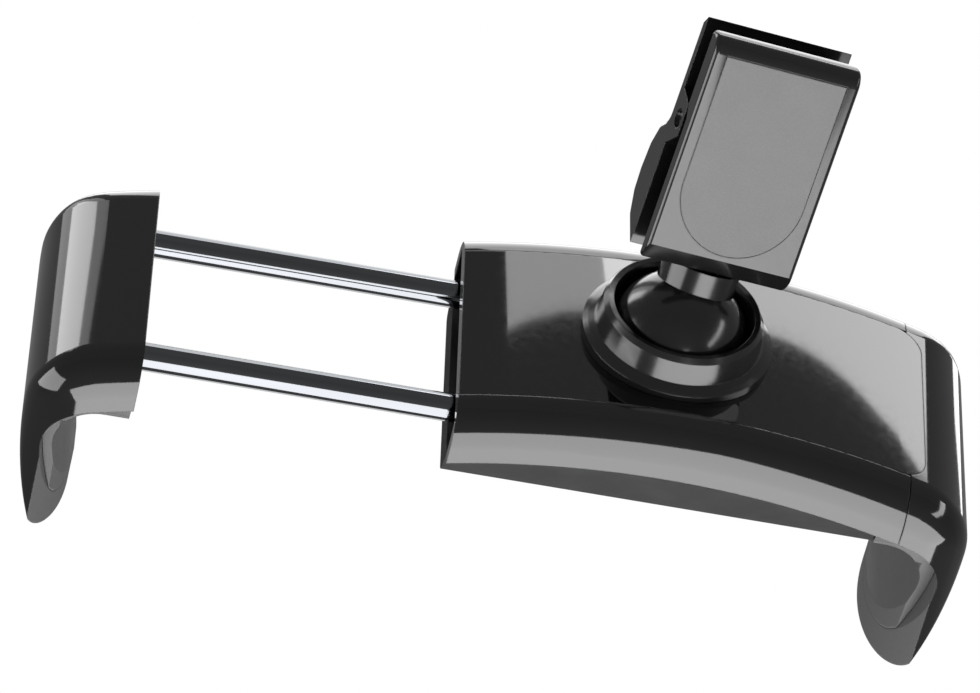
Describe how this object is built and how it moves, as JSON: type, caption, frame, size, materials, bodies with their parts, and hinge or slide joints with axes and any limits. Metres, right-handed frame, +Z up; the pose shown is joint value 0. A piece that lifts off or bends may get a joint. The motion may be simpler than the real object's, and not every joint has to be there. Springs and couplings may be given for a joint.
{
  "type": "car phone holder",
  "caption": "Car phone holder: clamp with a fixed and a sliding hooked jaw on chrome rods, ball joint and sprung air-vent clip behind.",
  "frame": {"origin": "on the flat face of the front pad where the phone rests, on the axis of the ball socket", "axes": "+X from the sliding jaw to the fixed jaw, +Y from the vent clip towards the phone, +Z up along the jaws"},
  "size_m": [0.0993, 0.0644, 0.0316],
  "materials": {
    "shell_black": "gloss black ABS",
    "panel_black": "gloss black ABS",
    "liner_rubber": "satin black TPE",
    "pad_rubber": "matt black TPE",
    "chassis_black": "matt black moulded plastic",
    "rod_chrome": "polished chrome plate",
    "bush_plastic": "natural dark acetal",
    "ball_black": "polished black acetal",
    "clip_black": "satin gloss black ABS",
    "thumb_grey": "fine grained dark grey TPE",
    "pin_steel": "drawn steel",
    "grip_rubber": "soft black silicone rubber",
    "spring_steel": "drawn spring steel",
    "screw_steel": "black zinc plated steel"
  },
  "bodies": {
    "clip": {"clip_body": "clip_black", "thumb_pad": "thumb_grey", "hinge_pin": "pin_steel", "lower_grip": "grip_rubber", "torsion_spring": "spring_steel"},
    "lever": {"clip_lever": "clip_black", "upper_grip": "grip_rubber"},
    "ball": {"ball_stud": "ball_black"},
    "cup": {"socket_cup": "bush_plastic"},
    "housing": {"main_shell": "shell_black", "back_panel": "panel_black", "fixed_jaw_cover": "shell_black", "fixed_jaw_liner": "liner_rubber", "front_pad": "pad_rubber", "chassis": "chassis_black", "bush_upper": "bush_plastic", "bush_lower": "bush_plastic", "collar": "shell_black", "housing_screws": "screw_steel"},
    "jaw": {"sliding_jaw": "shell_black", "sliding_jaw_liner": "liner_rubber", "rod_upper": "rod_chrome", "rod_lower": "rod_chrome"}
  },
  "joints": [
    {"name": "lever_hinge", "type": "hinge", "parent": "clip", "child": "lever", "pos_m": [0.00317, -0.03383, 0.00836], "axis": [-0.973, -0.1927, -0.1271], "range_deg": [0, 7], "stiffness_Nm_per_rad": 0.35, "springref_deg": -20.05},
    {"name": "ball_turn", "type": "hinge", "parent": "clip", "child": "ball", "pos_m": [0, -0.0123, 0], "axis": [0.1296, -0.9117, 0.39], "range_deg": [-90, 90]},
    {"name": "ball_tilt", "type": "hinge", "parent": "ball", "child": "cup", "pos_m": [0, -0.0123, 0], "axis": [1, 0, 0], "range_deg": [-38, 0]},
    {"name": "ball_spin", "type": "hinge", "parent": "cup", "child": "housing", "pos_m": [0, -0.0123, 0], "axis": [0, 1, 0], "range_deg": [-90, 90]},
    {"name": "jaw_slide", "type": "slide", "parent": "housing", "child": "jaw", "axis": [1, 0, 0], "range_m": [0, 0.0324]}
  ]
}
